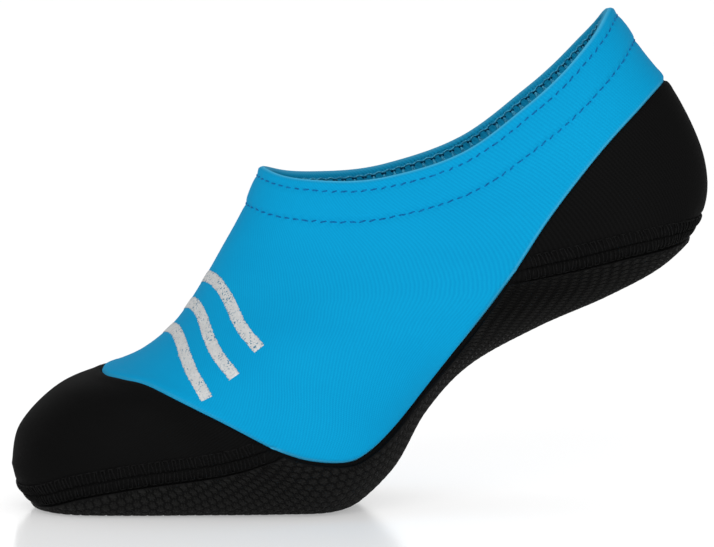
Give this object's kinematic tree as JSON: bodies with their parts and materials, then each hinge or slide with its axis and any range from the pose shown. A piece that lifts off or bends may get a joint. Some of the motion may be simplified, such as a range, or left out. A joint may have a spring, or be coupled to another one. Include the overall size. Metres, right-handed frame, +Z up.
{
  "type": "neoprene water sock",
  "caption": "Low-cut neoprene water sock for a right foot: blue upper, black toe and heel caps, and a honeycomb grip sole, standing with its heel raised.",
  "frame": {"origin": "bottom centre of the bounding box, on the ground under the sock", "axes": "+Z up, the toe points along -X, the heel along +X, and the medial (big toe) side faces -Y"},
  "size_m": [0.2296, 0.0928, 0.1652],
  "materials": {
    "upper_neoprene": "blue knit jersey over neoprene foam, matte with a soft sheen",
    "lining_jersey": "thin teal jersey lining",
    "lining_black": "thin black jersey lining",
    "black_neoprene": "black knit jersey over neoprene foam",
    "sole_grip": "textured anti-slip skin with small hexagonal cells, low gloss",
    "hem_thread": "dark blue polyester thread",
    "flatlock_thread": "black polyester flatlock thread",
    "instep_print": "thin silver-grey heat transfer print, slightly worn"
  },
  "bodies": {
    "root": {"upper": "upper_neoprene", "toe_cap": "black_neoprene", "heel_cap": "black_neoprene", "sole_panel": "black_neoprene", "upper_lining": "lining_jersey", "toe_lining": "lining_black", "heel_lining": "lining_black", "sole_lining": "lining_black", "grip_layer": "sole_grip", "collar_facing": "lining_jersey", "collar_stitch_upper": "hem_thread", "collar_stitch_lower": "hem_thread", "collar_inner_stitch": "hem_thread", "toe_flatlock_thread": "flatlock_thread", "heel_flatlock_thread": "flatlock_thread", "toe_seam_thread": "flatlock_thread", "side_seam_thread": "flatlock_thread", "instep_wave_1": "instep_print", "instep_wave_2": "instep_print", "instep_wave_3": "instep_print"}
  },
  "joints": []
}
